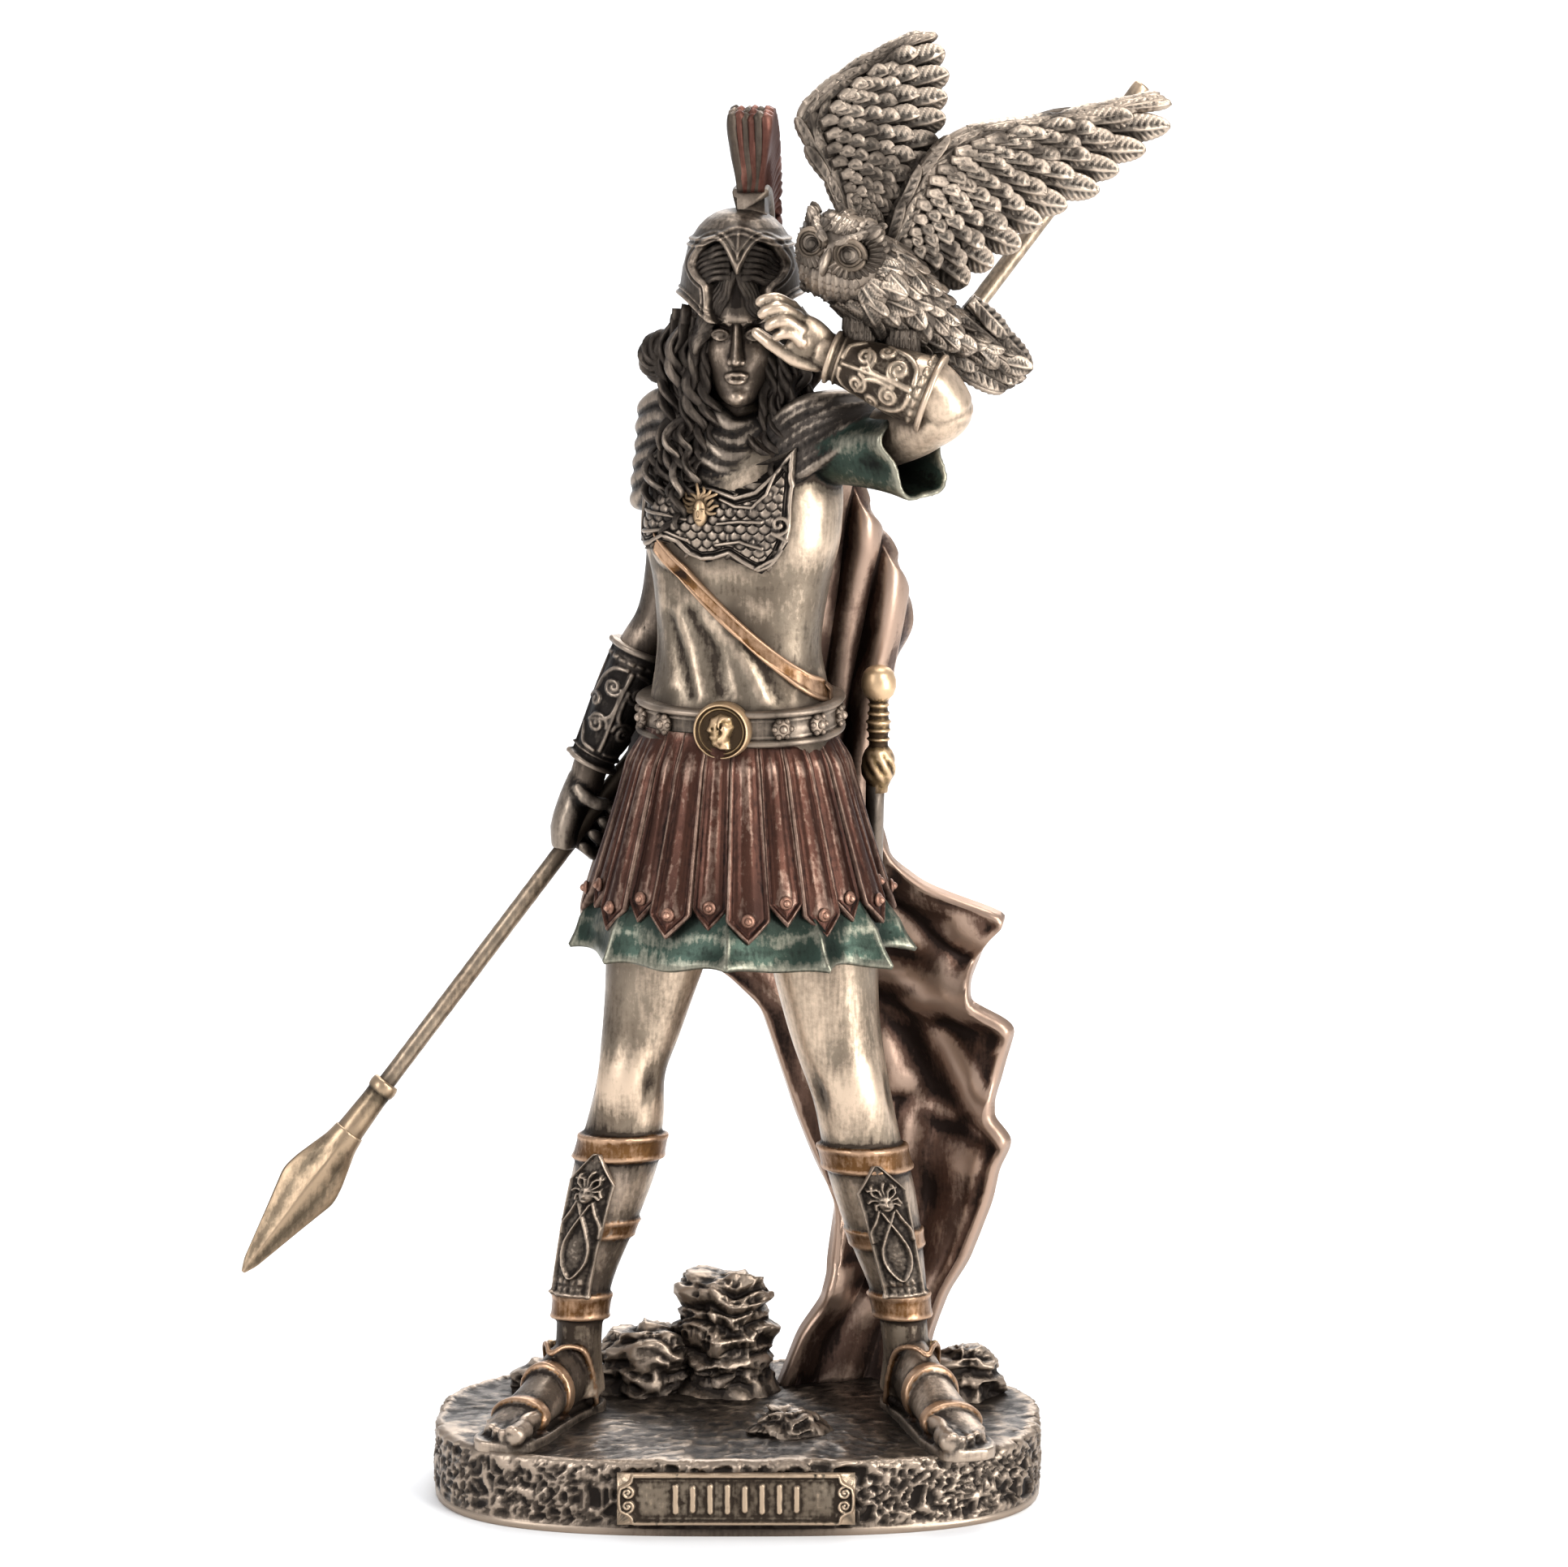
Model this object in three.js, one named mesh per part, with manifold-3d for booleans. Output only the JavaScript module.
// A cold-cast bronze figurine of a helmeted goddess: she stands on a rocky plinth with her feet
// apart, shades her eyes with her left hand, carries an owl on that forearm and holds a long
// spear behind her back with her right hand. Millimetres, +Z up, she faces -Y. The origin is the
// centre of the plinth's underside.
// "Right" and "left" in the names are the goddess's own.

import * as THREE from 'three';
import { LoftGeometry } from 'three/addons/geometries/LoftGeometry.js';
import { mergeVertices } from 'three/addons/utils/BufferGeometryUtils.js';
import Module from 'manifold-3d';

const wasm = await Module();
wasm.setup();

// Driving dimensions

const FIGURE_HEIGHT = 243;      // sole to the top of the helmet's dome
const PLINTH_WIDTH = 123.8;
const PLINTH_DEPTH = 84;
const PLINTH_HEIGHT = 15;
const PLINTH_FOOT_HEIGHT = 1.6; // the smooth rim at the very bottom
const PLINTH_FOOT_STEP = 0.8;   // how far that rim stands out
const SHAFT_DIAMETER = 3.6;
const SPEAR_LENGTH = 300;       // tip to butt
const SPEARHEAD_LENGTH = 48;
const SPEARHEAD_WIDTH = 12.6;
const SPEARHEAD_THICKNESS = 6;
const SOCKET_WALL = 1.3;
const SOCKET_DEPTH = 9;
const PLATE_WIDTH = 47;
const PLATE_HEIGHT = 10.6;
const PLATE_THICKNESS = 2.2;
const PLATE_RIM = 0.9;
const PLATE_SUNK = 1.2;         // how deep the plate is let into the plinth
const CAPE_THICKNESS = 2.4;
const OWL_LENGTH = 60;          // crown to tail tip
const FIT_GAP = 0.3;            // between pieces that touch
const FACET_ALLOWANCE = 0.24;   // how far a merged facet may stray

// The figure is drawn on a scale of 243 units from sole to helmet top, standing at z 0.
const DRAWN_HEIGHT = 243;
const UNIT = FIGURE_HEIGHT / DRAWN_HEIGHT;

const DEGREE = Math.PI / 180;
const X = new THREE.Vector3(1, 0, 0);
const Y = new THREE.Vector3(0, 1, 0);
const Z = new THREE.Vector3(0, 0, 1);

// A point of the figure, in drawing units, as a place above the plinth
const place = (x, y, z) => new THREE.Vector3(x * UNIT, y * UNIT, PLINTH_HEIGHT + z * UNIT);
const mix = (a, b, t) => a + (b - a) * t;
const smooth = (t) => t * t * (3 - 2 * t);
const turned = (degrees) => new THREE.Vector3(Math.cos(degrees * DEGREE), Math.sin(degrees * DEGREE), 0);

// A repeatable uneven value from -1 to 1
function uneven(a, b = 0, c = 0) {
  const s = Math.sin(a * 12.9898 + b * 78.233 + c * 37.719) * 43758.5453;
  return 2 * (s - Math.floor(s)) - 1;
}

// Solids

function solid(geometry) {
  const bare = new THREE.BufferGeometry();
  bare.setAttribute('position', geometry.attributes.position);
  bare.setIndex(geometry.index);
  const merged = mergeVertices(bare, 1e-4);
  const at = merged.attributes.position.array;
  const index = merged.index.array;
  const corners = [];
  let volume = 0;
  for (let i = 0; i < index.length; i += 3) {
    const [a, b, c] = [index[i], index[i + 1], index[i + 2]];
    if (a === b || b === c || c === a) continue;
    corners.push(a, b, c);
    const [p, q, r] = [a, b, c].map((k) => new THREE.Vector3().fromArray(at, 3 * k));
    volume += p.dot(q.cross(r));
  }
  if (volume < 0) corners.reverse();
  const triVerts = new Uint32Array(corners);
  const vertProperties = new Float32Array(at);
  return new wasm.Manifold(new wasm.Mesh({ numProp: 3, vertProperties, triVerts }));
}

const union = (solids) => solids.reduce((all, next) => all.add(next));

// The faces of the largest shell: hollows left inside where solids meet are filled
function outerShell(faces, at) {
  const leader = at.map((_, v) => v);
  const find = (v) => {
    let root = v;
    while (leader[root] !== root) root = leader[root];
    leader[v] = root;
    return root;
  };
  for (const [a, b, c] of faces) {
    leader[find(b)] = find(a);
    leader[find(c)] = find(a);
  }
  const volume = new Map();
  for (const [a, b, c] of faces) {
    const root = find(a);
    volume.set(root, (volume.get(root) ?? 0) + at[a].dot(at[b].clone().cross(at[c])));
  }
  const [largest] = [...volume].sort((p, q) => q[1] - p[1])[0];
  return faces.filter(([a]) => find(a) === largest);
}

// Merges the small facets that joins leave behind, as long as the surface moves by less than the
// allowance, and keeps the body closed
function lighten(manifold, allowance) {
  const { at, faces: all } = facesOf(manifold);
  const faces = outerShell(all, at);
  const around = at.map(() => new Set());
  faces.forEach((face, f) => face.forEach((v) => around[v].add(f)));
  const cross = (a, b, c) => b.clone().sub(a).cross(c.clone().sub(a));
  const planes = at.map(() => new Float64Array(11));
  for (const [a, b, c] of faces) {
    const normal = cross(at[a], at[b], at[c]);
    const area = normal.length();
    if (area < 1e-12) continue;
    normal.divideScalar(area);
    const { x, y, z } = normal;
    const d = -normal.dot(at[a]);
    const terms = [x * x, x * y, x * z, x * d, y * y, y * z, y * d, z * z, z * d, d * d, 1];
    for (const v of [a, b, c]) terms.forEach((term, k) => { planes[v][k] += term * area; });
  }
  const error = (q, { x, y, z }) => (q[0] * x * x + q[4] * y * y + q[7] * z * z + q[9]
    + 2 * (q[1] * x * y + q[2] * x * z + q[5] * y * z + q[3] * x + q[6] * y + q[8] * z)) / q[10];
  const neighbours = (v) => new Set([...around[v]].flatMap((f) => faces[f]).filter((w) => w !== v));
  const holds = (v, other, spot) => [...around[v]].every((f) => {
    if (faces[f].includes(other)) return true;
    const before = cross(...faces[f].map((w) => at[w]));
    const after = cross(...faces[f].map((w) => (w === v ? spot : at[w])));
    const longest = Math.max(...faces[f].map((w) => (w === v ? 0 : spot.distanceTo(at[w]))), 1e-9);
    if (after.length() < 0.012 * longest) return false;
    return before.length() < 1e-3 || before.dot(after) > 0.35 * before.length() * after.length();
  });
  const collapse = (a, b, limit) => {
    const total = planes[a].map((term, k) => term + planes[b][k]);
    const spots = [at[a], at[b], at[a].clone().lerp(at[b], 0.5)];
    const costs = spots.map((spot) => error(total, spot));
    const best = costs.indexOf(Math.min(...costs));
    if (costs[best] > limit * limit) return false;
    const beside = neighbours(b);
    if ([...neighbours(a)].filter((v) => beside.has(v)).length !== 2) return false;
    const spot = spots[best];
    if (!holds(a, b, spot) || !holds(b, a, spot)) return false;
    at[a] = spot.clone();
    planes[a] = total;
    for (const f of [...around[b]]) {
      if (faces[f].includes(a)) {
        for (const v of faces[f]) around[v].delete(f);
        faces[f] = null;
      } else {
        faces[f] = faces[f].map((v) => (v === b ? a : v));
        around[a].add(f);
      }
    }
    around[b].clear();
    return true;
  };
  for (const share of [0.1, 0.25, 0.4, 0.55, 0.7, 0.85, 1, 1]) {
    for (let a = 0; a < at.length; a++) {
      if (around[a].size === 0) continue;
      const far = (b) => at[a].distanceToSquared(at[b]);
      for (const b of [...neighbours(a)].sort((p, q) => far(p) - far(q))) {
        if (b > a && around[b].size > 0 && neighbours(a).has(b)) collapse(a, b, allowance * share);
      }
    }
  }
  const kept = faces.filter(Boolean);
  const vertProperties = new Float32Array(at.flatMap((p) => p.toArray()));
  const triVerts = new Uint32Array(kept.flat());
  return new wasm.Manifold(new wasm.Mesh({ numProp: 3, vertProperties, triVerts }));
}

// A manifold's points and triangles
function facesOf(manifold) {
  const { vertProperties, triVerts, numProp } = manifold.getMesh();
  const at = [];
  for (let i = 0; i < vertProperties.length; i += numProp) {
    at.push(new THREE.Vector3().fromArray(vertProperties, i));
  }
  const faces = [];
  for (let i = 0; i < triVerts.length; i += 3) faces.push([triVerts[i], triVerts[i + 1], triVerts[i + 2]]);
  return { at, faces };
}

function geometryOf(manifold) {
  const { at, faces } = facesOf(manifold);
  const geometry = new THREE.BufferGeometry().setFromPoints(outerShell(faces, at).flat().map((v) => at[v]));
  return mergeVertices(geometry, 1e-5);
}

// Twice the area vector of a closed ring
function areaVector(points) {
  const area = new THREE.Vector3();
  points.forEach((p, i) => area.add(p.clone().cross(points[(i + 1) % points.length])));
  return area;
}

function middleOf(points) {
  const sum = new THREE.Vector3();
  for (const p of points) sum.add(p);
  return sum.divideScalar(points.length);
}

// A solid through closed rings, turned the right way out whichever way the rings run
function loft(sections) {
  let facing = 0;
  for (let i = 1; i < sections.length; i++) {
    const along = middleOf(sections[i]).sub(middleOf(sections[i - 1]));
    facing += areaVector(sections[i]).dot(along) + areaVector(sections[i - 1]).dot(along);
  }
  const rings = facing < 0 ? sections.map((points) => [...points].reverse()) : sections;
  return solid(new LoftGeometry(rings, { capStart: true, capEnd: true }));
}

// A closed ring of points: half-width a along side, half-depths front and back along deep
function ring(centre, side, deep, a, front, back, sides, power = 2) {
  const points = [];
  for (let i = 0; i < sides; i++) {
    const angle = (i / sides) * 2 * Math.PI;
    const [c, s] = [Math.cos(angle), Math.sin(angle)];
    const x = Math.sign(c) * Math.abs(c) ** (2 / power) * a;
    const y = Math.sign(s) * Math.abs(s) ** (2 / power) * (s > 0 ? back : front);
    points.push(centre.clone().addScaledVector(side, x).addScaledVector(deep, y));
  }
  return points;
}

// A limb: each station is [x, y, z, half-width, half-depth] in drawing units, and its ring stands
// square to the limb, with the half-width along the across direction
function limb(stations, sides, across = X, grow = 0) {
  const centres = stations.map(([x, y, z]) => place(x, y, z));
  const sections = stations.map(([, , , a, b], i) => {
    const before = centres[Math.max(i - 1, 0)];
    const after = centres[Math.min(i + 1, centres.length - 1)];
    const along = after.clone().sub(before).normalize();
    const side = across.clone().addScaledVector(along, -across.dot(along)).normalize();
    const deep = new THREE.Vector3().crossVectors(along, side);
    return ring(centres[i], side, deep, a * UNIT + grow, b * UNIT + grow, b * UNIT + grow, sides);
  });
  return loft(sections);
}

// An egg: half-lengths along three directions
function egg(centre, radii, across = X, up = Z, segments = 7, rows = 5) {
  const geometry = new THREE.SphereGeometry(1, segments, rows);
  const forward = new THREE.Vector3().crossVectors(across, up).normalize();
  const basis = new THREE.Matrix4().makeBasis(
    across.clone().multiplyScalar(radii[0] * UNIT),
    up.clone().multiplyScalar(radii[2] * UNIT),
    forward.multiplyScalar(radii[1] * UNIT),
  );
  geometry.applyMatrix4(basis.setPosition(centre));
  return solid(geometry);
}

// A thick sheet over surface(u, v), both 0 to 1, as deep as thickness(u, v) behind it
function sheet(columns, rows, surface, thickness) {
  const step = 1e-3;
  const inside = (t) => Math.min(Math.max(t, step), 1 - step);
  const sections = [];
  for (let j = 0; j <= rows; j++) {
    const front = [];
    const back = [];
    for (let i = 0; i <= columns; i++) {
      const [u, v] = [i / columns, j / rows];
      const [su, sv] = [inside(u), inside(v)];
      const du = surface(su + step, sv).sub(surface(su - step, sv));
      const dv = surface(su, sv + step).sub(surface(su, sv - step));
      const normal = du.cross(dv).normalize();
      const half = thickness(u, v) / 2;
      front.push(surface(u, v).addScaledVector(normal, half));
      back.unshift(surface(u, v).addScaledVector(normal, -half));
    }
    sections.push([...front, ...back]);
  }
  return loft(sections);
}

// A leaf-shaped feather or tongue from root to tip, as wide as width, arched by its ridge
function feather(root, tip, normal, width, thickness, blunt = 0.55) {
  const along = tip.clone().sub(root);
  const side = new THREE.Vector3().crossVectors(along, normal).normalize();
  const shares = [[0, 0.6], [0.7, 1], [1, blunt]];
  return loft(shares.map(([t, w]) => {
    const middle = root.clone().addScaledVector(along, t);
    return [
      middle.clone().addScaledVector(side, w * width / 2),
      middle.clone().addScaledVector(normal, thickness * 0.6),
      middle.clone().addScaledVector(side, -w * width / 2),
      middle.clone().addScaledVector(normal, -thickness * 0.4),
    ];
  }));
}

// A tapering strand along a curve through the points, in drawing units
function strand(points, thick, thin, sides = 5, steps = 6, curl = 0.18) {
  const curve = new THREE.CatmullRomCurve3(points.map(([x, y, z]) => place(x, y, z)));
  const sections = [];
  for (let i = 0; i <= steps; i++) {
    const t = i / steps;
    const along = curve.getTangentAt(t);
    const side = new THREE.Vector3().crossVectors(along, Math.abs(along.y) > 0.9 ? X : Y).normalize();
    const deep = new THREE.Vector3().crossVectors(along, side);
    const radius = mix(thick, thin, t) * UNIT * (1 + curl * Math.sin(t * 17 + points[0][0]));
    sections.push(ring(curve.getPointAt(t), side, deep, radius, radius, radius, sides));
  }
  return loft(sections);
}

// Draws a point towards the surface of a body along a direction
function caster(manifold) {
  const mesh = new THREE.Mesh(geometryOf(manifold), new THREE.MeshBasicMaterial({ side: THREE.DoubleSide }));
  mesh.geometry.computeBoundingSphere();
  const ray = new THREE.Raycaster();
  return (from, direction) => {
    ray.set(from, direction);
    const hit = ray.intersectObject(mesh)[0];
    return hit ? hit.point : null;
  };
}

// Plinth

const plinthHalf = PLINTH_WIDTH / 2;
const plinthDeep = PLINTH_DEPTH / 2;

// The outline is squarer in front than behind, and its wall is rough
function plinthRing(z, inset, rough, sides = 34) {
  const points = [];
  for (let i = 0; i < sides; i++) {
    const angle = ((i + 0.5) / sides) * 2 * Math.PI;
    const [c, s] = [Math.cos(angle), Math.sin(angle)];
    const power = s < 0 ? 2.9 : 2.3;
    const bump = rough * uneven(i, z);
    const x = Math.sign(c) * Math.abs(c) ** (2 / power) * (plinthHalf - inset + bump);
    const y = Math.sign(s) * Math.abs(s) ** (2 / power) * (plinthDeep - inset + bump);
    points.push(new THREE.Vector3(x, y, z));
  }
  return points;
}

function plinth() {
  const step = PLINTH_FOOT_HEIGHT;
  const top = PLINTH_HEIGHT;
  return loft([
    plinthRing(0, PLINTH_FOOT_STEP + 0.3, 0),
    plinthRing(step, PLINTH_FOOT_STEP, 0),
    plinthRing(mix(step, top, 0.25), 0.6, 0.5),
    plinthRing(mix(step, top, 0.75), 0.9, 0.5),
    plinthRing(top, 3, 0.4),
  ]);
}

// A craggy rock: rings of uneven radius, each [height, half-width], about a spot on the plinth
function rock(x, y, profile, seed, squash = 0.75) {
  const sides = 7;
  const sections = profile.map(([z, r], j) => {
    const points = [];
    for (let i = 0; i < sides; i++) {
      const angle = (i / sides) * 2 * Math.PI + 0.35 * j;
      const radius = r * (1 + 0.15 * uneven(i, j, seed));
      const lift = j > 0 ? 0.7 * uneven(j, i, seed + 5) : 0;
      points.push(place(x + radius * Math.cos(angle), y + radius * squash * Math.sin(angle), z + lift));
    }
    return points;
  });
  return loft(sections);
}

const rocks = () => union([
  rock(-2.5, 17, [[-2, 11.5], [6, 8.2], [12, 10], [19, 9.4], [24.4, 6.6]], 1),
  rock(-18, 18, [[-2, 13], [7, 11.5], [12.5, 8]], 2, 0.6),
  rock(-38, 17, [[-2, 8], [6, 4.5]], 3),
  rock(10, -15, [[-2, 8], [4.4, 5.4]], 4, 0.8),
  rock(46, 12, [[-2, 8], [5, 7], [10.4, 4]], 6),
]);

// Legs and sandals

const RIGHT_LEG = [
  [-14, -3, 106, 12, 12], [-18.9, -5, 80.7, 7.9, 8.6],
  [-20.9, -6, 72, 6.8, 7.5], [-22.2, -4.6, 61, 7.5, 8.2], [-24.4, -2.6, 51, 7.9, 8.8],
  [-27.6, -1.6, 39, 6.8, 7.8], [-31, -1.5, 25, 4.9, 5.6], [-32, -1.2, 13, 4.6, 5.8], [-31.6, -0.6, 4, 4.9, 6.2],
];
const LEFT_LEG = [
  [16, -3, 106, 12.4, 12], [19.8, -5, 79, 9, 9.5],
  [22.8, -6, 67, 7.8, 8.3], [25, -4.6, 56, 7.8, 8.5], [27.2, -2.6, 47, 7.8, 8.7],
  [30, -1, 35, 6.7, 7.6], [32.8, -0.2, 23, 5, 5.7], [34, 0.2, 12, 4.6, 5.8], [33.6, 0.8, 4, 4.9, 6.2],
];
const LEG_SIDES = 10;

// The station of a limb at a height
function stationAt(stations, z) {
  const i = Math.max(1, stations.findIndex((s) => s[2] <= z));
  const [upper, lower] = [stations[i - 1], stations[i]];
  const t = (upper[2] - z) / (upper[2] - lower[2]);
  return upper.map((value, k) => mix(value, lower[k], t));
}

// A strap or greave round a leg between two heights, its front lower by dip
function cuff(stations, top, bottom, proud, dip = 0) {
  return loft([top, bottom].map((z) => {
    const [x, y, , a, b] = stationAt(stations, z);
    const [w, d] = [(a + proud) * UNIT, (b + proud) * UNIT];
    const tilt = (p) => p.setZ(p.z + dip * (p.y - y * UNIT) / b);
    return ring(place(x, y, z), X, Y, w, d, d, LEG_SIDES).map(tilt);
  }));
}

// The embossed plate on a shin: a tall shield with a pointed top and a mask in relief
function shinPlate(stations, facing, top, bottom) {
  const direction = turned(facing - 90);
  const side = turned(facing);
  const halfAt = (t) => (t < 0.2 ? mix(0.8, 4.4, t / 0.2) : mix(4.4, 3.4, (t - 0.2) / 0.8));
  const onShin = (u, v, lift) => {
    const z = mix(top, bottom, v);
    const [x, y, , a, b] = stationAt(stations, z);
    const across = (2 * u - 1) * halfAt(v);
    const out = Math.sqrt(Math.max(0, 1 - (across / a) ** 2)) * b + lift;
    return place(x, y, z).addScaledVector(direction, out * UNIT).addScaledVector(side, across * UNIT);
  };
  return union([
    sheet(2, 5, (u, v) => onShin(u, v, 0.5), () => 2.4 * UNIT),
    egg(onShin(0.5, 0.28, 1.7), [1.9, 1.5, 2.6], side, Z, 6, 5),
    egg(onShin(0.5, 0.2, 1.5), [2.9, 1.4, 1.4], side, Z, 6, 4),
  ]);
}

function foot(heel, toe, inner) {
  const along = new THREE.Vector3(toe[0] - heel[0], toe[1] - heel[1], 0);
  const length = along.length();
  along.normalize();
  const side = new THREE.Vector3(-along.y, along.x, 0);
  const spot = (t, across, z) => place(
    heel[0] + along.x * length * t + side.x * across,
    heel[1] + along.y * length * t + side.y * across,
    z,
  );
  const half = [[0, 2.6], [0.1, 5], [0.35, 5.2], [0.72, 7], [0.92, 6.6], [1, 3.4]];
  const outline = [...half, ...half.map(([t, w]) => [t, -w]).reverse()];
  const sole = loft([-1, 1.4].map((z) => outline.map(([t, w]) => spot(t, w, z))));
  const arch = (t, w, high, low = 1) => {
    const points = [];
    for (let i = 0; i < 8; i++) {
      const angle = (i / 8) * 2 * Math.PI;
      points.push(spot(t, w * Math.cos(angle), low + (high - low) * (0.5 + 0.5 * Math.sin(angle))));
    }
    return points;
  };
  const instep = [
    [0.02, 3.8, 8], [0.16, 4.8, 15], [0.34, 4.9, 15], [0.54, 5.3, 10.4], [0.72, 5.8, 7.2], [0.86, 5.4, 4.6],
  ];
  const upper = loft(instep.map((station) => arch(...station)));
  const toes = [0, 1, 2, 3, 4].map((i) => {
    const size = i === 0 ? 1.9 : 1.45 - 0.06 * i;
    const reach = 0.93 - 0.012 * i * i;
    return egg(spot(reach, inner * (4 - i * 2.1), 1.4 + size), [size, 3.1, size], side, Z, 5, 4);
  });
  const straps = [[0.53, 6, 11.4], [0.77, 6.3, 7.5]].map(([t, w, high]) => loft([
    arch(t - 0.03, w, high, 0.6), arch(t + 0.03, w, high - 0.6, 0.6),
  ]));
  return union([sole, upper, ...toes, ...straps]);
}

function legs() {
  const parts = [];
  const shins = [
    { leg: RIGHT_LEG, facing: -26, heel: [-29.4, 5.4], toe: [-48, -31.5], inner: 1, knee: 57.5, dip: -0.9 },
    { leg: LEFT_LEG, facing: 12, heel: [32, 7.2], toe: [46.4, -37], inner: -1, knee: 55.5, dip: -0.5 },
  ];
  for (const { leg, facing, heel, toe, inner, knee, dip } of shins) {
    parts.push(limb(leg, LEG_SIDES));
    parts.push(cuff(leg, knee, knee - 5.6, 1.2, dip));
    parts.push(cuff(leg, knee - 17, knee - 21.5, 1, dip));
    parts.push(cuff(leg, 24, 18.6, 1.2, dip));
    parts.push(shinPlate(leg, facing, knee - 2, 25));
    parts.push(foot(heel, toe, inner));
    const [x, y, z] = leg[2];
    parts.push(egg(place(x, y - 5.2, z), [4.2, 2.9, 4.8], turned(facing), Z, 6, 5));
  }
  return union(parts);
}

// Skirt: underskirt with a wavy hem, and two layers of leather tongues

const SKIRT = { x: 0.4, y: -4.5, top: 141, bottom: 102.5 };
const TONGUES = 26;

// How far the skirt stands out at a share t of its drop: [half-width, front, back]
function skirtReach(t) {
  const open = t ** 1.1;
  return [mix(19.2, 29.6, open), mix(14.2, 24.4, open), mix(14.6, 21, open)];
}

// A point on the skirt: turn is 0 at her left side and 0.75 in front, and out is a lift off it
function onSkirt(turn, t, out = 0) {
  const angle = turn * 2 * Math.PI;
  const [a, front, back] = skirtReach(Math.min(t, 1));
  const [c, s] = [Math.cos(angle), Math.sin(angle)];
  const x = SKIRT.x + c * (a + out);
  const y = SKIRT.y + s * ((s > 0 ? back : front) + out);
  return place(x, y, mix(SKIRT.top, SKIRT.bottom, t));
}

function underskirt() {
  const columns = 34;
  const wave = (turn) => Math.sin(turn * 2 * Math.PI * 9 + 1) + 0.5 * Math.sin(turn * 2 * Math.PI * 5);
  const rows = [[0, -1.2, 0], [0.72, -0.8, 0.3], [1, 0.6, 0.9], [1.15, 2.4, 1.3]];
  const outer = rows.map(([t, out, ripple]) => {
    const points = [];
    for (let i = 0; i < columns; i++) {
      const turn = i / columns;
      const fall = t > 1 ? 0.024 * wave(turn) : 0;
      points.push(onSkirt(turn, t + fall, out + ripple * wave(turn)));
    }
    return points;
  });
  const inward = (points, share, lift) => points.map((p) => p.clone()
    .lerp(place(SKIRT.x, SKIRT.y, 0).setZ(p.z), share).add(new THREE.Vector3(0, 0, lift * UNIT)));
  const hem = outer.at(-1).filter((p, i) => i % 2 === 0);
  const hollow = loft([inward(hem, 0.13, -4), inward(hem, 0.17, 1), inward(hem, 0.35, 7)]);
  return loft(outer).subtract(hollow);
}

// One leather tongue with raised edges and a pointed end
function tongue(turn, start, drop, lift, half) {
  const sections = [start, drop - 0.1, drop].map((t, j) => {
    const w = j === 2 ? 0.14 * half : half * mix(0.66, 1, Math.min(t, 1));
    const deep = lift * mix(0.3, 1, Math.min(t, 1));
    const at = (du, out) => onSkirt(turn + du, t, out);
    return [
      at(-w, deep + 0.2), at(-w * 0.82, deep + 1.1), at(-w * 0.6, deep + 0.4), at(w * 0.6, deep + 0.4),
      at(w * 0.82, deep + 1.1), at(w, deep + 0.2), at(w, -2.6), at(-w, -2.6),
    ];
  });
  return loft(sections);
}

function skirt() {
  const parts = [underskirt()];
  const pitch = 1 / TONGUES;
  for (let i = 0; i < TONGUES; i++) {
    const upper = i % 2 === 0;
    const turn = (i + 0.25) * pitch;
    const front = Math.max(0, -Math.sin(turn * 2 * Math.PI));
    const drop = (upper ? 0.97 : 0.9) + 0.05 * front;
    const lift = upper ? 1.4 : 0.2;
    parts.push(tongue(turn, upper ? 0.02 : 0.5, drop, lift, pitch * (upper ? 0.84 : 0.46)));
    const stud = onSkirt(turn, drop - 0.13, lift + 0.5);
    if (upper && front > 0.1) parts.push(egg(stud, [1.2, 1.2, 1.2], X, Z, 6, 3));
  }
  return union(parts);
}

// Torso, belt and strap

// [x, y, z, half-width, front, back, turn]
const TORSO = [
  [0.6, -4, 118, 20, 16, 15, -10], [0.8, -3, 143, 18.4, 13.6, 13, -13],
  [0.6, -2.4, 156, 16.4, 11.6, 11.4, -16], [1, -2.4, 169, 17.8, 12, 12, -20], [1.1, -2.4, 180, 20.3, 12.6, 12.6, -23],
  [1.6, -1.4, 190, 19.8, 11.6, 11.8, -24], [1.6, -0.2, 196.5, 17.6, 9.4, 9.8, -24], [1, 0, 201, 11.4, 7.4, 8, -20],
  [0.4, -0.4, 205, 6.4, 6, 6, -15],
];
const TORSO_POWER = 2.3;

function torsoRing([x, y, z, a, front, back, turn], grow = 0, sides = 14) {
  const side = turned(turn);
  const deep = turned(turn + 90);
  const g = grow * UNIT;
  return ring(place(x, y, z), side, deep, a * UNIT + g, front * UNIT + g, back * UNIT + g, sides, TORSO_POWER);
}

function torso() {
  const bust = [[6, -13, 179.5], [-9.2, -8.6, 179.5]]
    .map(([x, y, z]) => egg(place(x, y, z), [8.2, 6.4, 8.6], turned(-23), Z, 9, 7));
  return union([loft(TORSO.map((s) => torsoRing(s))), ...bust]);
}

const BELT_Z = 143.2;
const BELT_HEIGHT = 6.4;
const [BELT_X, BELT_Y, , BELT_HALF, BELT_FRONT, BELT_BACK, BELT_TURN] = [0.8, -3, 0, 18.4, 13.6, 13, -13];

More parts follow.
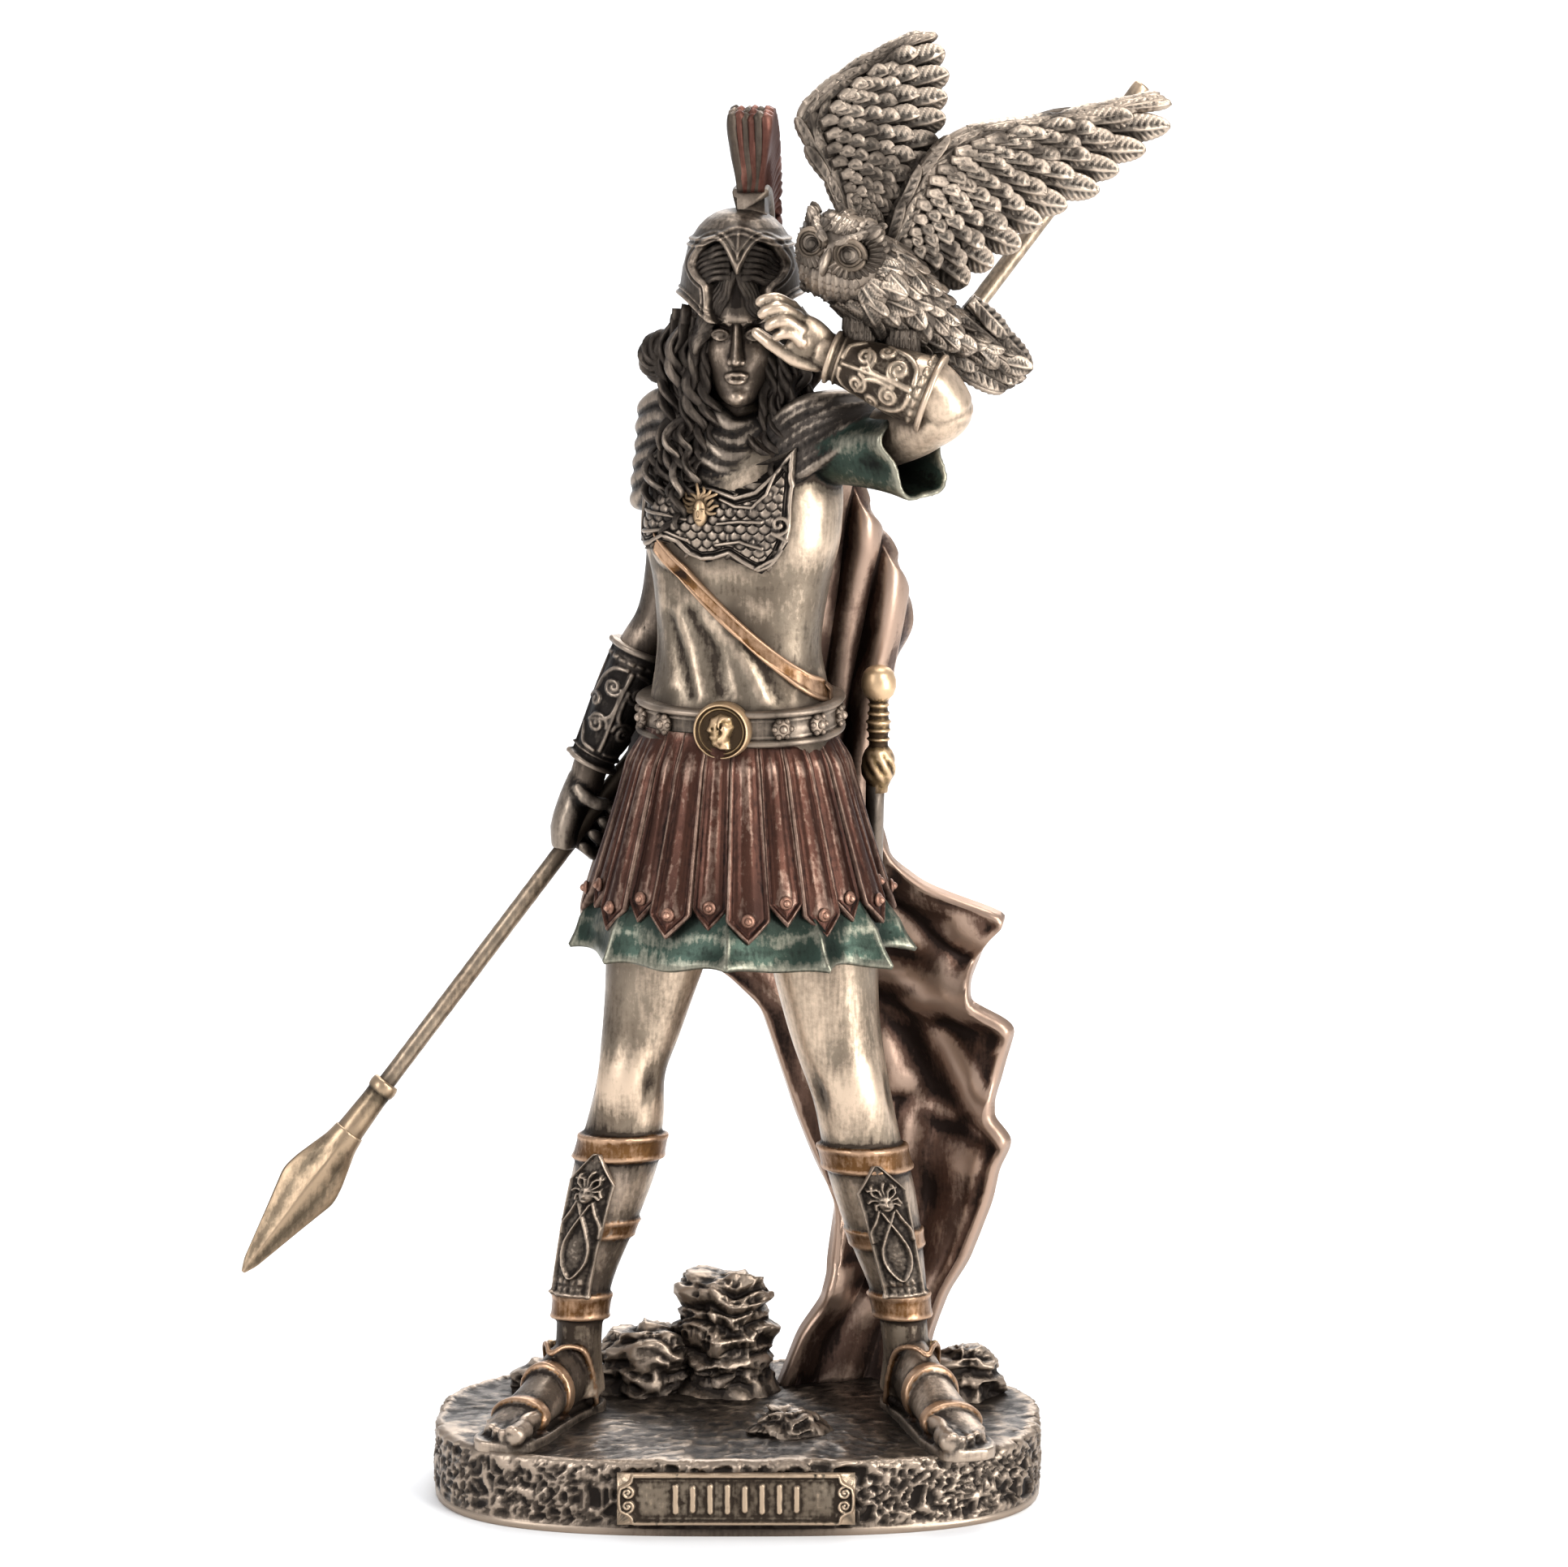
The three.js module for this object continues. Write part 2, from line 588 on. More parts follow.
function belt() {
  const side = turned(BELT_TURN);
  const deep = turned(BELT_TURN + 90);
  const band = (low, high, proud) => loft([low, high].map((z) => torsoRing(
    [BELT_X, BELT_Y, z, BELT_HALF, BELT_FRONT, BELT_BACK, BELT_TURN], proud, 22)));
  const parts = [
    band(BELT_Z - BELT_HEIGHT / 2, BELT_Z + BELT_HEIGHT / 2, 1.5),
    band(BELT_Z - BELT_HEIGHT / 2 - 0.4, BELT_Z - BELT_HEIGHT / 2 + 0.9, 2.2),
    band(BELT_Z + BELT_HEIGHT / 2 - 0.9, BELT_Z + BELT_HEIGHT / 2 + 0.4, 2.2),
  ];
  for (const degrees of [180, 214, 238, 302, 326, 0]) {
    const [c, s] = [Math.cos(degrees * DEGREE), Math.sin(degrees * DEGREE)];
    const reach = (BELT_HALF + 1.6) * Math.sign(c) * Math.abs(c) ** (2 / TORSO_POWER);
    const out = (BELT_FRONT + 1.6) * Math.sign(s) * Math.abs(s) ** (2 / TORSO_POWER);
    const spot = place(BELT_X, BELT_Y, BELT_Z).addScaledVector(side, reach * UNIT);
    parts.push(egg(spot.addScaledVector(deep, out * UNIT), [1.9, 1.5, 1.9], side, Z, 6, 4));
  }
  const centre = place(BELT_X, BELT_Y, BELT_Z - 0.4).addScaledVector(deep, -(BELT_FRONT + 1.2) * UNIT);
  const disc = (radius, out, high) => {
    const geometry = new THREE.CylinderGeometry(radius * UNIT, radius * UNIT, high * UNIT, 14);
    geometry.applyMatrix4(new THREE.Matrix4().makeBasis(side, deep, Z));
    const at = centre.clone().addScaledVector(deep, -out * UNIT);
    return solid(geometry.translate(at.x, at.y, at.z));
  };
  parts.push(disc(5.8, 0.6, 3.2).subtract(disc(4.7, 2.2, 1.4)));
  parts.push(egg(centre.clone().addScaledVector(deep, -1.4 * UNIT), [2.3, 1.3, 3], side, Z, 7, 5));
  return union(parts);
}

// A strap across the chest from her right ribs to her left hip, laid on the body
function baldric(touch) {
  const side = turned(-16);
  const ahead = turned(-16 + 90);
  const path = (u, v) => {
    const across = mix(-15.4, 20.5, v);
    const z = mix(178, 146.5, v ** 0.92) + (0.5 - u) * 4.6;
    const from = place(1, -2, z).addScaledVector(side, across * 0.93 * UNIT);
    from.addScaledVector(ahead, -60 * UNIT);
    const hit = touch(from, ahead) ?? from.clone().addScaledVector(ahead, 58 * UNIT);
    return hit.addScaledVector(ahead, -0.7 * UNIT);
  };
  return sheet(1, 9, path, () => 2.6 * UNIT);
}

// The collar over breast and shoulders: a lobed plate with a mask in its middle
function collar(touch) {
  const ahead = turned(-22 + 90);
  const side = turned(-22);
  const lay = (across, z, out = 0) => {
    const from = place(-1.2, -3, z).addScaledVector(side, across * UNIT);
    from.addScaledVector(ahead, -60 * UNIT);
    const hit = touch(from, ahead) ?? from.clone().addScaledVector(ahead, 52 * UNIT);
    return hit.addScaledVector(ahead, -out * UNIT);
  };
  const lower = (u) => 172.5 + 4.5 * Math.abs(Math.sin(u * Math.PI * 3.5)) + 5 * (2 * u - 1) ** 2;
  const plate = sheet(10, 3, (u, v) => {
    const across = mix(-16.8, 17.4, u) * mix(0.8, 1, Math.min(1, 2 * v));
    return lay(across, mix(198.5, lower(u), v), 0.2);
  }, () => 2 * UNIT);
  const face = lay(-1.5, 183.4, 1.4);
  const parts = [plate, egg(face, [2.4, 1.7, 3.6], side, Z, 7, 6)];
  for (let i = 0; i < 7; i++) {
    const angle = (20 + i * 23.3) * DEGREE;
    const tip = face.clone().addScaledVector(side, Math.cos(angle) * 5.4 * UNIT)
      .addScaledVector(Z, (1.5 + Math.sin(angle) * 5) * UNIT);
    parts.push(feather(face, tip, ahead.clone().negate(), 1.5 * UNIT, 1.4 * UNIT, 0.4));
  }
  const curl = new THREE.TorusGeometry(2.6 * UNIT, 0.8 * UNIT, 4, 9);
  curl.applyMatrix4(new THREE.Matrix4().makeBasis(side, Z, ahead).setPosition(lay(16, 179, 0.6)));
  return union([...parts, solid(curl)]);
}

// Arms and hands

const RIGHT_ARM = [
  [-11.5, 5, 196, 7, 7], [-12.6, 9, 184, 5.8, 6], [-13.4, 10.6, 170, 4.9, 5.2],
  [-16, 11, 159, 4.7, 5], [-18.9, 11.4, 154, 4.8, 5.1], [-22.4, 11.8, 145.4, 4.9, 5.2],
  [-25.8, 12.2, 137.5, 4.4, 4.7], [-29.2, 12.8, 130.4, 3.6, 3.8], [-30.8, 13, 125, 3.5, 3.7],
];
const LEFT_ARM = [
  [16.5, -4.5, 195, 7, 7], [28, -16, 199, 6.1, 6.2], [36, -23.5, 203, 6, 6],
  [40, -27, 206.4, 5.8, 6.1], [37.6, -27.6, 209.4, 6.2, 6.2], [31, -26.4, 211.6, 5.9, 6], [25, -25, 213.8, 4.8, 5],
  [20, -24, 215.8, 4, 4.2], [16.5, -23.4, 217.4, 3.6, 4],
];
const BRACER_LEFT = LEFT_ARM.slice(4, 8);
const BRACER_RIGHT = RIGHT_ARM.slice(4, 8);
const ARM_SIDES = 10;
const BRACER_PROUD = 0.8;
const BRACER_LIP = 1.5;

function bracer(stations, across) {
  const swell = stations.map(([x, y, z, a, b]) => [x, y, z, a + BRACER_PROUD, b + BRACER_PROUD]);
  const ends = [swell[0], swell.at(-1)].map((s, k) => {
    const next = k === 0 ? swell[1] : swell.at(-2);
    const inner = s.map((value, i) => mix(value, next[i], 0.18));
    const lip = BRACER_LIP - BRACER_PROUD;
    return limb([s, inner].map(([x, y, z, a, b]) => [x, y, z, a + lip, b + lip]), ARM_SIDES, across);
  });
  return union([limb(swell, ARM_SIDES, across), ...ends]);
}

// A finger through its joints
const finger = (points, thick = 1.35) => strand(points, thick, thick * 0.78, 5, 3, 0);

function leftHand() {
  const parts = [limb([
    [18.5, -24, 216.2, 3.4, 2.6], [14.4, -23.6, 219.6, 3.9, 2.3], [9.6, -22, 223.4, 3.6, 1.8],
  ], 8, new THREE.Vector3(0.4, 0, 1))];
  for (let i = 0; i < 4; i++) {
    const z = 226.8 - i * 2.2;
    parts.push(finger([
      [11.8 - 0.2 * i, -22.6, z - 1], [8, -23.8 - 0.3 * i, z + 0.7],
      [4.8 - 0.3 * i, -22.6, z + 0.6], [2.6 - 0.3 * i, -19.6, z - 0.3],
    ]));
  }
  parts.push(finger([[15.4, -25, 217.4], [11.6, -26, 217], [8, -24.4, 217.8], [5.6, -22.4, 218.8]], 1.5));
  return union(parts);
}

// The right fist is closed round the spear's line
function rightHand(grip, along) {
  const parts = [limb([
    [-30.6, 12.9, 127, 3.4, 3.4], [-32.2, 12.8, 122, 3.9, 4.8], [-33.2, 12.6, 116, 3.9, 5], [-33, 12.2, 111.6, 3, 4],
  ], 8, X)];
  const side = new THREE.Vector3().crossVectors(along, Y).normalize();
  const toFront = new THREE.Vector3().crossVectors(side, along).normalize();
  const radius = SHAFT_DIAMETER / 2 + 1.1 * UNIT;
  for (let i = 0; i < 4; i++) {
    const centre = grip.clone().addScaledVector(along, (4.4 - i * 2.8) * UNIT);
    const sections = [];
    for (let j = 0; j <= 4; j++) {
      const angle = (200 - j * 65) * DEGREE;
      const outward = side.clone().multiplyScalar(-Math.cos(angle)).addScaledVector(toFront, Math.sin(angle));
      const knuckle = centre.clone().addScaledVector(outward, radius);
      sections.push(ring(knuckle, along, outward, 1.4 * UNIT, 1.3 * UNIT, 1.3 * UNIT, 5));
    }
    parts.push(loft(sections));
  }
  parts.push(strand([[-30.6, 9.4, 124], [-30, 8.2, 119.6], [-30, 9, 115.6]], 1.8, 1.3, 5, 2, 0));
  return union(parts);
}

// The short sleeve that hangs from her left arm, open at its end
function leftSleeve() {
  const stations = [
    [17, -4, 195, 7, 7, 7.5], [24, -8, 194.4, 7.4, 7.6, 9],
    [29.6, -11.6, 193.6, 7, 8, 8.4], [33.6, -14, 193, 6.6, 8.2, 7.4],
  ];
  const along = new THREE.Vector3(0.8, -0.58, -0.12).normalize();
  const side = new THREE.Vector3().crossVectors(Z, along).normalize();
  const up = new THREE.Vector3().crossVectors(along, side);
  const rings = (shrink) => stations.map(([x, y, z, a, high, low]) => ring(place(x, y, z), side, up,
    (a - shrink) * UNIT, (low - shrink) * UNIT, (high - shrink) * UNIT, 10));
  const mouth = rings(1.3).slice(2);
  mouth.push(mouth.at(-1).map((p) => p.clone().addScaledVector(along, 4 * UNIT)));
  return loft(rings(0)).subtract(loft(mouth));
}

// Gathered cloth on the shoulders: folds that run from the collar over the arm
function shoulderFolds() {
  const parts = [];
  for (let i = 0; i < 4; i++) {
    const t = i / 3;
    parts.push(strand([
      [mix(8, 12, t), mix(-8, -13, t), mix(199, 189, t)], [mix(15, 17, t), mix(-9, -14.5, t), mix(204.5, 193, t)],
      [24, mix(-6, -15.5, t), mix(205, 197, t)], [mix(26, 27, t), mix(4, -8, t), mix(196, 203, t)],
    ], 2.7, 2, 5, 4, 0));
  }
  for (let i = 0; i < 3; i++) {
    const z = 204.5 - i * 6.6;
    const fold = [[-8, -1, z], [-14.4 - 0.6 * i, 1.5, z + 0.6], [-17.4 - 0.5 * i, 7, z - 2.6], [-15, 13, z - 3.5]];
    parts.push(strand(fold, 3.6, 2.9, 6, 4, 0));
  }
  return union(parts);
}

// Head, helmet and hair

const HEAD_TURN = -4;
const headSide = turned(HEAD_TURN);
const headBack = turned(HEAD_TURN + 90);

// A place on the head: across to her left, forward of the ear line, and up
const onHead = (across, forward, z) => place(0.9, -3, z)
  .addScaledVector(headSide, across * UNIT).addScaledVector(headBack, -forward * UNIT);

function face() {
  // [z, half-width, reach to the front, reach to the back]
  const profile = [
    [204.7, 2.2, 8.8, -2], [206.4, 4.2, 10.4, 0], [210, 6.2, 10.5, 4], [214, 7.7, 10.2, 7],
    [219, 8.4, 9.7, 9], [227, 8.2, 10.2, 9.6],
  ];
  const skull = loft(profile.map(([z, a, front, back]) => ring(onHead(0, 0, z), headSide, headBack,
    a * UNIT, front * UNIT, back * UNIT, 12, 2.2)));
  const nose = loft([[221, 0.9, 10], [214.4, 1.5, 13], [213.2, 1.5, 11.4]].map(([z, w, out]) => [
    onHead(-w, 9.4, z), onHead(0, out, z), onHead(w, 9.4, z), onHead(0, 8, z),
  ]));
  const lips = [211.1, 209.9].map((z) => egg(onHead(0, 10.1, z), [2.2, 0.9, 0.75], headSide, Z, 6, 3));
  const brows = [-1, 1].map((s) => egg(onHead(s * 3.7, 9, 221.9), [3.3, 1.5, 1], headSide, Z, 6, 3));
  const eyes = [-1, 1].map((s) => egg(onHead(s * 3.6, 8.7, 218.9), [1.9, 1.4, 0.95], headSide, Z, 6, 4));
  const neck = limb([[0.3, -0.6, 197, 6.6, 6.6], [0.3, -1.4, 203, 5.3, 5.6], [0.6, -2.6, 210, 5.2, 5.8]], 9);
  return union([skull, nose, neck, ...lips, ...brows, ...eyes]);
}

function helmet() {
  // [z, half-width, reach to the front, reach to the back]
  const rows = [
    [221.4, 11.2, 12, 13], [222.8, 12.1, 14, 13.8], [224, 12, 14, 13.6], [224.4, 11.3, 13.2, 12.9],
    [231, 11.4, 13.2, 12.4], [236, 10.2, 11.2, 11], [237.4, 9.4, 10.2, 10.4], [241, 6.4, 6.8, 7],
    [243, 2.4, 2.6, 2.6],
  ];
  const dome = loft(rows.map(([z, a, front, back]) => ring(onHead(0.3, 0, z), headSide, headBack,
    a * UNIT, front * UNIT, back * UNIT, 14)));
  const bandAt = ([z, a, d]) => ring(onHead(0.3, 0, z), headSide, headBack,
    a * UNIT, (d + 0.8) * UNIT, d * UNIT, 14);
  const band = loft([[235.8, 10.9, 11.4], [237.2, 10.3, 10.8]].map(bandAt));
  // The pushed-up mask: an open slot between the cheek pieces, a nose guard and two eye hollows
  const slot = egg(onHead(0, 15, 221.6), [3.3, 7, 5.4], headSide, Z, 8, 6);
  const hollows = [-1, 1].map((s) => egg(onHead(s * 5, 13.4, 230), [3.7, 3.2, 2.7],
    turned(HEAD_TURN).addScaledVector(Z, s * 0.3).normalize(), Z, 8, 5));
  const guard = loft([[236, 4, 11.4], [231, 1.8, 14.6], [227, 0.5, 14.8]].map(([z, w, out]) => [
    onHead(-w, out - 1, z), onHead(0, out, z), onHead(w, out - 1, z), onHead(0, out - 4, z),
  ]));
  const rims = [-1, 1].map((s) => strand([
    headUnits(s * 1.4, 13.2, 228), headUnits(s * 3.4, 12.4, 233.6), headUnits(s * 7.4, 10, 233.4),
    headUnits(s * 9.6, 7.8, 229.4), headUnits(s * 6.4, 11.2, 226.6),
  ], 1.3, 1.2, 5, 6, 0));
  return union([dome, band]).subtract(slot).subtract(union(hollows)).add(union([guard, ...rims]));
}

// onHead as drawing units, for strands
function headUnits(across, forward, z) {
  const p = onHead(across, forward, z);
  return [p.x / UNIT, p.y / UNIT, z];
}

// The horsehair crest: a fan that runs from the brow over the dome and down the nape
function crest() {
  const strips = 7;
  const blade = [];
  const holder = [];
  for (let i = 0; i <= strips; i++) {
    const t = i / strips;
    const angle = mix(76, 222, t) * DEGREE;
    const [forward, up] = [Math.cos(angle), Math.sin(angle)];
    const corner = (across, r) => onHead(across + 2.2, forward * r * 0.94 - 1, 230 + up * r);
    const reach = mix(33, 21, smooth(t));
    const edge = [corner(-4.3, reach), corner(0, reach + 0.6), corner(4.3, reach)];
    blade.push([corner(-2.4, 15), ...edge, corner(2.4, 15)]);
    holder.push([corner(-3.1, 9), corner(-3.1, 17.4), corner(3.1, 17.4), corner(3.1, 9)]);
  }
  return union([loft(blade), loft(holder)]);
}

function hair() {
  const level = ([x, y, z, a, b]) => ring(place(x, y, z), X, Y, a * UNIT, b * UNIT, b * UNIT, 7);
  const mass = (stations) => loft(stations.map(level));
  const parts = [
    egg(place(0.9, 3, 215), [10, 9, 10], headSide, Z, 8, 6),
    egg(place(-14.2, 1.5, 213.4), [4.8, 4.2, 5], X, Z, 7, 5),
    mass([[-6.6, -2.6, 222, 3.4, 5], [-8.6, -1.6, 212, 4.6, 6], [-9, 1, 202, 4.6, 7], [-10, 1, 190, 4, 8]]),
    mass([[8.4, -2.6, 222, 3.4, 5], [9.8, -1.6, 212, 4.2, 6], [10, 0, 202, 4.4, 7], [10.4, 0, 192, 4, 8]]),
    mass([[0.9, 5, 216, 9.6, 7], [0.9, 6, 206, 9.4, 6.5], [1, 7, 197, 10.6, 6], [1, 8, 188, 8, 5]]),
  ];
  const locks = [
    [[-7.8, -6.6, 222], [-11, -6.8, 213], [-8, -7.6, 204], [-12, -8.6, 195], [-8.4, -13.2, 186], [-11.4, -14, 180]],
    [[-10, -2, 221], [-13.6, -2.4, 211], [-11, -4.5, 202], [-15.4, -4.4, 193], [-13.2, -9.6, 186]],
    [[9, -7.4, 222], [12, -7.8, 212], [9, -9.6, 203], [12, -12.4, 194], [7.6, -17, 187], [10.6, -18.4, 180]],
    [[10.8, -3, 221], [14, -4.6, 211], [11.8, -7.6, 202], [14.6, -11.4, 194], [11.6, -16.4, 186]],
    [[7.6, -9.2, 217], [8, -9, 208], [5.2, -9.6, 200], [7.8, -12.6, 192]],
    [[-6.2, -9.2, 217], [-7.6, -9, 208], [-5.2, -8, 200], [-8, -10.6, 191]],
  ];
  for (const lock of locks) parts.push(strand(lock, 2.8, 1.2, 5, 8));
  for (const x of [-7.6, -2.6, 2.6, 7.6]) {
    const fall = [[x * 0.8, 9, 218], [x, 11.5, 207], [x * 1.1 + 1, 12.5, 198], [x * 1.2 - 1, 12.6, 188]];
    parts.push(strand(fall, 3.4, 1.6, 5, 4));
  }
  return union(parts);
}

// Cape: hangs from both shoulders, sweeps to her left below the hip and rests on the plinth

// The hanging cape's edges: [height, x, y]
const CAPE_RIGHT_HAND_EDGE = [
  [199, -14, 10], [182, -15.6, 13], [163, -15.6, 13.5], [143, -18, 14], [121, -25, 14], [101, -31.5, 11],
  [97, -31, 11], [91, -14, 19], [86, -3, 22], [78, 4.8, 24], [71.3, 7, 24.5], [57.8, 11.4, 25], [51, 14, 24],
  [37.5, 20, 22], [24, 19.4, 20.6], [17.3, 17.4, 20], [10.5, 12.6, 20], [-1, 8, 20],
];
const CAPE_LEFT_HAND_EDGE = [
  [199, 20, 5], [182, 26.5, 9], [173, 31.4, 11], [164, 34.4, 13], [158, 34.6, 14], [151, 32, 15],
  [141, 29.2, 15.6], [129, 27.2, 16.4], [119, 27.6, 17], [110, 31, 16], [104.6, 38, 14], [101, 48, 13],
  [99.4, 55.2, 11], [93, 50, 13], [86, 46.8, 14], [80.4, 46.6, 14], [76.4, 55.8, 12], [69, 53.4, 13],
  [61, 51.6, 14], [47, 52.6, 14.4], [40, 51, 16], [27, 46.4, 18.4], [20, 42.4, 20], [10, 39, 21.5], [-1, 37, 22],
];
const CAPE_ROWS = [
  199, 188, 176, 165, 156, 147, 136, 124, 113, 105, 99.4, 93, 86, 80.4, 76.4, 68, 59, 50, 40, 30, 20, 9, -1,
];

function alongEdge(edge, z) {
  const i = Math.max(1, edge.findIndex((s) => s[0] <= z));
  const t = (edge[i - 1][0] - z) / (edge[i - 1][0] - edge[i][0]);
  return place(mix(edge[i - 1][1], edge[i][1], t), mix(edge[i - 1][2], edge[i][2], t), z);
}

function onCape(u, v) {
  const row = Math.min(v * (CAPE_ROWS.length - 1), CAPE_ROWS.length - 1.001);
  const k = Math.floor(row);
  const z = mix(CAPE_ROWS[k], CAPE_ROWS[k + 1], row - k);
  const point = alongEdge(CAPE_RIGHT_HAND_EDGE, z).lerp(alongEdge(CAPE_LEFT_HAND_EDGE, z), u);
  const fall = (199 - z) / 200;
  const belly = Math.sin(u * Math.PI);
  const narrowing = fall > 0.8 ? mix(1, 0.6, (fall - 0.8) * 5) : 1;
  const fullness = mix(3, 7.5, Math.min(1, fall * 1.6)) * narrowing;
  const fold = Math.cos(u * Math.PI * 5 + 2.6 * fall) * mix(0.8, 3, smooth(Math.min(1, fall * 1.5)));
  return point.add(new THREE.Vector3(0, (belly * fullness + fold * Math.min(1, belly * 3)) * UNIT, 0));
}

function cape() {
  const columns = 10;
  const rows = CAPE_ROWS.length - 1;
  const sections = CAPE_ROWS.map((z, j) => {
    const outer = [];
    const inner = [];
    for (let i = 0; i <= columns; i++) {
      const [u, v] = [i / columns, j / rows];
      const thick = CAPE_THICKNESS * mix(1, 1.5, v);
      const buried = z > 110 ? 9 * UNIT * Math.sin(u * Math.PI) ** 0.6 : 0;
      const [before, after] = [onCape(Math.max(u - 0.02, 0), v), onCape(Math.min(u + 0.02, 1), v)];
      const along = after.sub(before).setZ(0).normalize();
      const out = new THREE.Vector3(-along.y, along.x, 0);
      outer.push(onCape(u, v).addScaledVector(out, thick / 2));
      inner.unshift(onCape(u, v).addScaledVector(out, -thick / 2).addScaledVector(Y, -buried));
    }
    return [...outer, ...inner];
  });
  return loft(sections);
}

// Sword at her left hip: pommel, grip, guard and scabbard
function sword() {
  const hilt = [
    [28.2, 1.4, 151.8, 1.2, 1.2], [28.2, 1.4, 150.4, 3, 3], [28.2, 1.4, 147.4, 3.3, 3.3],
    [28.2, 1.4, 144.6, 1.9, 1.9], [28.2, 1.5, 140, 2.3, 2.3], [28.2, 1.6, 136.4, 1.9, 1.9],
    [28.3, 1.8, 133, 3.2, 3], [28.3, 2, 129.4, 3.2, 3], [28, 3, 126, 1.8, 2],
  ];
  const scabbard = [[27.6, 3, 128, 1.9, 2.3], [27.2, 12, 98, 1.6, 2.2], [27, 16, 84, 1, 1.4]];
  return union([limb(hilt, 8), limb(scabbard, 6)]);
}

// Spear

const GRIP = place(-30.5, 14, 118.5);
const BUTT = place(81.7, 40, 264.3);
const spearLine = BUTT.clone().sub(GRIP).normalize();
const spearTip = BUTT.clone().addScaledVector(spearLine, -SPEAR_LENGTH);
const socketMouth = spearTip.clone().addScaledVector(spearLine, SPEARHEAD_LENGTH);

// A turned solid along the spear's line: [distance from start, radius] pairs
function turnedSolid(start, profile, sides) {
  const side = new THREE.Vector3().crossVectors(spearLine, Y).normalize();
  const deep = new THREE.Vector3().crossVectors(spearLine, side);
  const at = (s) => start.clone().addScaledVector(spearLine, s);
  return loft(profile.map(([s, r]) => ring(at(s), side, deep, r, r, r, sides)));
}

function shaft() {
  const start = socketMouth.clone().addScaledVector(spearLine, FIT_GAP - SOCKET_DEPTH);
  return turnedSolid(start, [[0, SHAFT_DIAMETER / 2], [start.distanceTo(BUTT), SHAFT_DIAMETER / 2]], 16);
}

function spearhead() {
  const wide = new THREE.Vector3().crossVectors(spearLine, Y).normalize();
  const thick = new THREE.Vector3().crossVectors(spearLine, wide);
  const [w, d] = [SPEARHEAD_WIDTH / 2, SPEARHEAD_THICKNESS / 2];
  const s = SHAFT_DIAMETER / 2 + FIT_GAP + SOCKET_WALL;
  // [share of the length, share of the width, share of the thickness]
  const blade = [
    [0, 0.09, 0.12], [0.05, 0.24, 0.3], [0.28, 0.66, 0.72], [0.46, 1, 0.95], [0.53, 0.92, 1], [0.68, 0.55, 0.98],
  ];
  const sections = blade.map(([t, a, b]) => {
    const c = spearTip.clone().addScaledVector(spearLine, t * SPEARHEAD_LENGTH);
    const at = (x, y) => c.clone().addScaledVector(wide, x * w).addScaledVector(thick, y * d);
    const [u, v] = [a * 0.5, b * 0.55];
    return [at(a, 0), at(u, v), at(0, b), at(-u, v), at(-a, 0), at(-u, -v), at(0, -b), at(u, -v)];
  });
  const neck = [[0.8, 0.86], [0.95, 0.94], [0.952, 1.1], [1, 1.1]].map(([t, r]) => ring(
    spearTip.clone().addScaledVector(spearLine, t * SPEARHEAD_LENGTH), wide, thick, r * s, r * s, r * s, 8));
  const bore = turnedSolid(socketMouth.clone().addScaledVector(spearLine, -SOCKET_DEPTH),
    [[0, SHAFT_DIAMETER / 2 + FIT_GAP], [SOCKET_DEPTH + 1, SHAFT_DIAMETER / 2 + FIT_GAP]], 16);
  return loft([...sections, ...neck]).subtract(bore);
}

// Name plate: a framed bar with scrolled ends and a row of plain strokes

const plateFront = -plinthDeep - PLATE_THICKNESS + PLATE_SUNK;
const plateZ = PLINTH_HEIGHT * 0.5 + 0.4;

function plateOutline(grow) {
  const [w, h, cut] = [PLATE_WIDTH / 2 + grow, PLATE_HEIGHT / 2 + grow, PLATE_HEIGHT * 0.26];
  const shape = new THREE.Shape();
  shape.moveTo(-w + cut, -h);
  shape.lineTo(w - cut, -h);
  shape.quadraticCurveTo(w - cut * 0.9, -h + cut, w, -h + cut);
  shape.lineTo(w, h - cut);
  shape.quadraticCurveTo(w - cut * 0.9, h - cut, w - cut, h);
  shape.lineTo(-w + cut, h);
  shape.quadraticCurveTo(-w + cut * 0.9, h - cut, -w, h - cut);
  shape.lineTo(-w, -h + cut);
  shape.quadraticCurveTo(-w + cut * 0.9, -h + cut, -w + cut, -h);
  return shape;
}

function plateSlab(grow, front, depth) {
  const options = { depth, bevelEnabled: false, curveSegments: 2 };
  const geometry = new THREE.ExtrudeGeometry(plateOutline(grow), options);
  geometry.rotateX(Math.PI / 2);
  geometry.translate(0, front + depth, plateZ);
  return solid(geometry);
}

function namePlate() {
  const count = 8;
  const strokes = [];
  for (let i = 0; i < count; i++) {
    const high = PLATE_HEIGHT * (i % 3 === 1 ? 0.4 : 0.46);
    const geometry = new THREE.BoxGeometry(1, 1, high);
    strokes.push(solid(geometry.translate((i - (count - 1) / 2) * 3.4, plateFront + PLATE_RIM + 0.1, plateZ)));
  }
  const scrolls = [-1, 1].flatMap((s) => [-1, 1].map((t) => {
    const geometry = new THREE.CylinderGeometry(1.3, 1.6, 1, 7);
    const x = s * (PLATE_WIDTH / 2 - 2.4);
    return solid(geometry.translate(x, plateFront + PLATE_RIM + 0.1, plateZ + t * 1.7));
  }));
  const panel = plateSlab(-PLATE_RIM, plateFront - 1, PLATE_RIM + 1);
  return plateSlab(0, plateFront, PLATE_THICKNESS).subtract(panel).add(union([...strokes, ...scrolls]));
}

// Owl: drawn on its own scale of 60 units from crown to tail tip, standing on her left forearm

